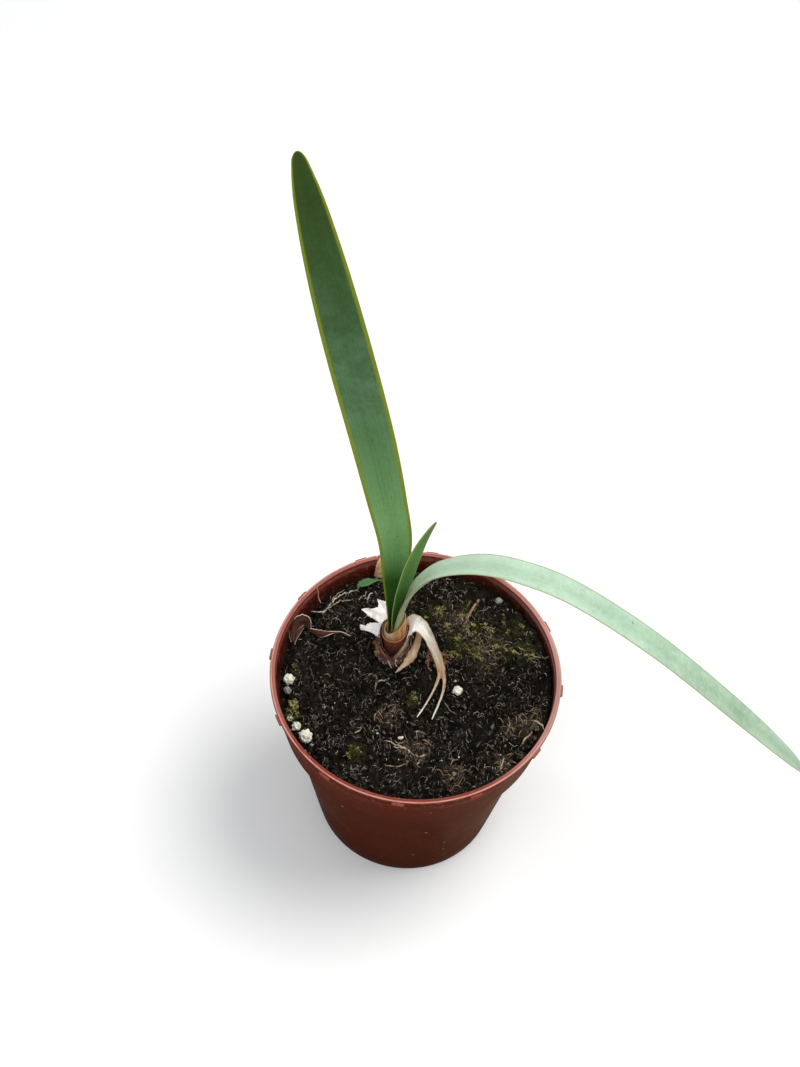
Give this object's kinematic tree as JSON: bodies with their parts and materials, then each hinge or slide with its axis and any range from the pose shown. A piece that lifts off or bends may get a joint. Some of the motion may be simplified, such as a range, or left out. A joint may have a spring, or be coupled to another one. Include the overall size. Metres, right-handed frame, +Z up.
{
  "type": "potted bulb plant",
  "caption": "Potted strumaria: long strap leaves, upright and arching, rise from a bulb's neck with torn papery skin, in dark soil in a tapered plastic nursery pot.",
  "frame": {"origin": "centre of the pot's foot, on the surface that it stands on", "axes": "+Z up, +X towards the side that the long leaf arches over, -Y towards the viewer of the picture"},
  "size_m": [0.1687, 0.0912, 0.2496],
  "materials": {
    "pot_plastic": "satin moulded plastic, brownish terracotta",
    "potting_mix": "dark crumbly peat mix with fibres",
    "bulb_skin": "dry reddish-brown bulb skin",
    "leaf_green": "waxy green leaf",
    "leaf_glaucous": "pale glaucous leaf with a waxy bloom",
    "dry_skin": "papery dry skin, white to tan",
    "perlite": "chalky white grain",
    "stone": "dull grey grain",
    "dry_plant": "dry withered plant matter"
  },
  "bodies": {
    "root": {"pot": "pot_plastic", "soil": "potting_mix", "bulb": "bulb_skin", "tunic": "dry_skin", "leaf_upright": "leaf_green", "leaf_arching": "leaf_glaucous", "leaf_young": "leaf_green", "seedling": "leaf_green", "withered_weed": "dry_plant", "dry_leaf": "dry_plant", "twig": "dry_plant", "bark_chip": "dry_plant", "perlite_1": "perlite", "perlite_2": "perlite", "perlite_3": "perlite", "perlite_4": "perlite", "perlite_5": "perlite", "stone_1": "stone", "stone_2": "stone"}
  },
  "joints": []
}
